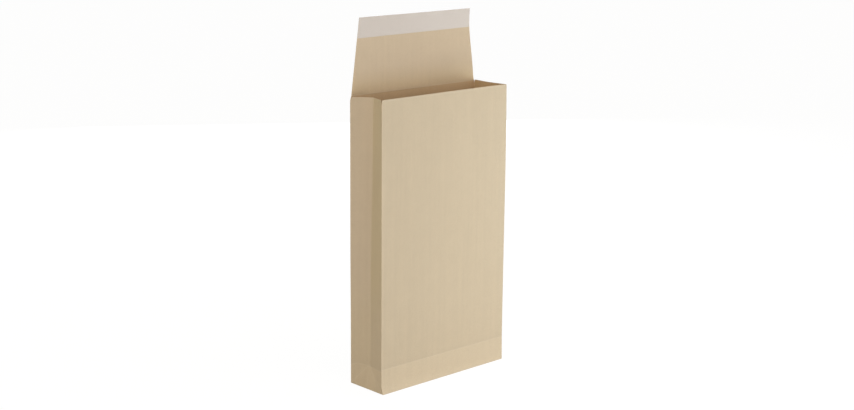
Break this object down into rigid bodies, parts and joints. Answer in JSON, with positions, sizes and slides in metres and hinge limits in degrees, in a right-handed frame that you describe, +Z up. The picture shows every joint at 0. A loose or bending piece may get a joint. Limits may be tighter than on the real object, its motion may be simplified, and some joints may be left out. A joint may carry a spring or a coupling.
{
  "type": "paper envelope",
  "caption": "Kraft paper mailing envelope with side gussets and a block bottom, standing open, with a tapered closing flap and a peel-off liner over its glue strip.",
  "frame": {"origin": "centre of the bottom face, on the surface it stands on", "axes": "+Z up to the flap's free edge, -Y out of the front panel, +X to the right as seen from the front"},
  "size_m": [0.25, 0.074, 0.548],
  "materials": {
    "kraft_paper": "matte, with faint streaks along the grain",
    "adhesive": "tacky, slightly glossy",
    "liner_paper": "smooth siliconed release paper, faint sheen"
  },
  "bodies": {
    "root": {"folded_paper_body": "kraft_paper", "adhesive_strip": "adhesive", "release_liner": "liner_paper"}
  },
  "joints": []
}
